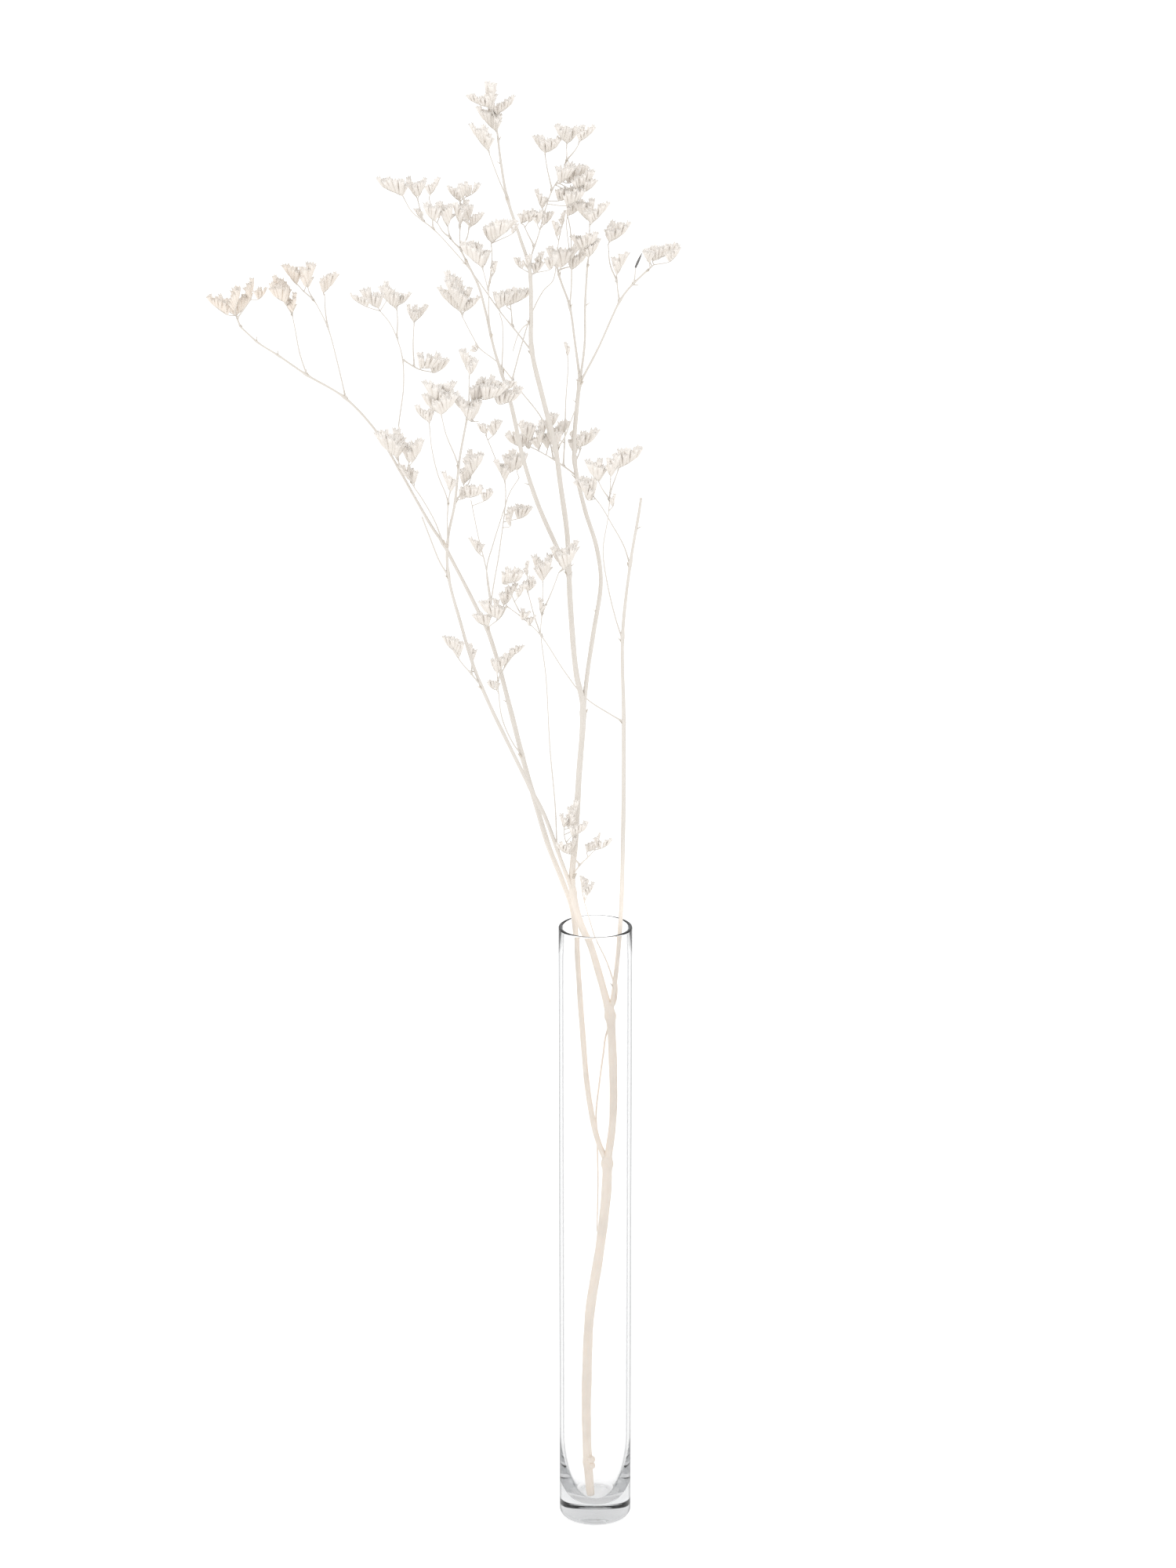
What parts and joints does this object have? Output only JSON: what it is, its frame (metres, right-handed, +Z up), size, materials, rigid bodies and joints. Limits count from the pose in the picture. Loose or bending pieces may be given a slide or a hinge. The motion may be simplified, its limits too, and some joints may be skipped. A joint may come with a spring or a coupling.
{
  "type": "dried statice in a glass vase",
  "caption": "Dried branch of statice with comb-like flower sprays, standing in a tall narrow clear glass vase.",
  "frame": {"origin": "centre of the vase's flat underside", "axes": "+Z up along the vase's axis, +X to the right and +Y away from the front, with the branch's long arm towards -X"},
  "size_m": [0.2512, 0.1251, 0.7986],
  "materials": {
    "glass": "clear, polished",
    "stem": "dry, matt, bleached bark",
    "floret": "dry, papery, matt"
  },
  "bodies": {
    "root": {"main_stem": "stem", "spray_arm": "floret", "spray_back_left": "floret", "spray_bend": "floret", "spray_between": "floret", "spray_big_fan": "floret", "spray_collar": "floret", "spray_crown": "floret", "spray_crown_left": "floret", "spray_crown_right": "floret", "spray_elbow": "floret", "spray_fan": "floret", "spray_far_high": "floret", "spray_far_low": "floret", "spray_far_tip": "floret", "spray_fork_left": "floret", "spray_fork_middle": "floret", "spray_fork_right": "floret", "spray_fork_twin": "floret", "spray_heart": "floret", "spray_inner": "floret", "spray_knuckle": "floret", "spray_left_high": "floret", "spray_left_low": "floret", "spray_left_twin": "floret", "spray_right_cross": "floret", "spray_right_low": "floret", "spray_shoulder": "floret", "spray_side_low": "floret", "spray_side_top": "floret", "spray_throat": "floret", "spray_veil": "floret", "vase": "glass"}
  },
  "joints": []
}
